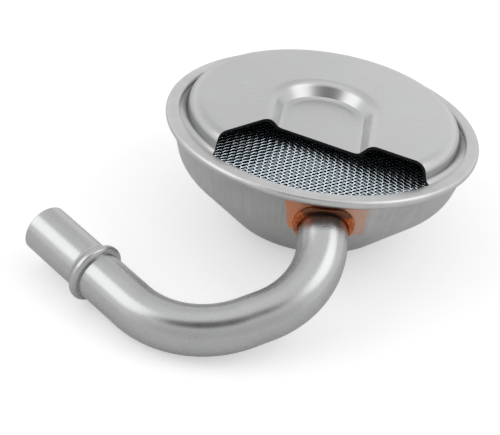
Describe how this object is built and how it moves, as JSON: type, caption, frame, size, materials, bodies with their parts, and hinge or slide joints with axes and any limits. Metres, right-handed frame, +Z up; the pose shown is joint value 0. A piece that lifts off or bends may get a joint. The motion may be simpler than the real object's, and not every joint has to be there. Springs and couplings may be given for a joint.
{
  "type": "oil pickup tube",
  "caption": "Engine oil pickup: pressed bowl with a crimped rim, woven intake screen, pressed lid with a pocket and a window, and a bent suction tube brazed into its side.",
  "frame": {"origin": "centre of the tube at the foot of the bead, where the pump end begins", "axes": "+Z up as the part lies on a table on the floor of its bowl and the underside of its tube, screen up; the tube leaves the bowl towards -Y and hooks round to -X"},
  "size_m": [0.1469, 0.1417, 0.0453],
  "materials": {
    "bowl_steel": "bare pressed sheet with fine drawing lines on the side wall",
    "screen_wire": "bright plain-woven wire",
    "lid_steel": "bare pressed sheet, satin",
    "tube_steel": "drawn tube, satin",
    "braze_copper": "bright flowed copper, darkened in the corner"
  },
  "bodies": {
    "root": {"bowl": "bowl_steel", "screen": "screen_wire", "lid": "lid_steel", "pickup_tube": "tube_steel", "braze_ring": "braze_copper"}
  },
  "joints": []
}
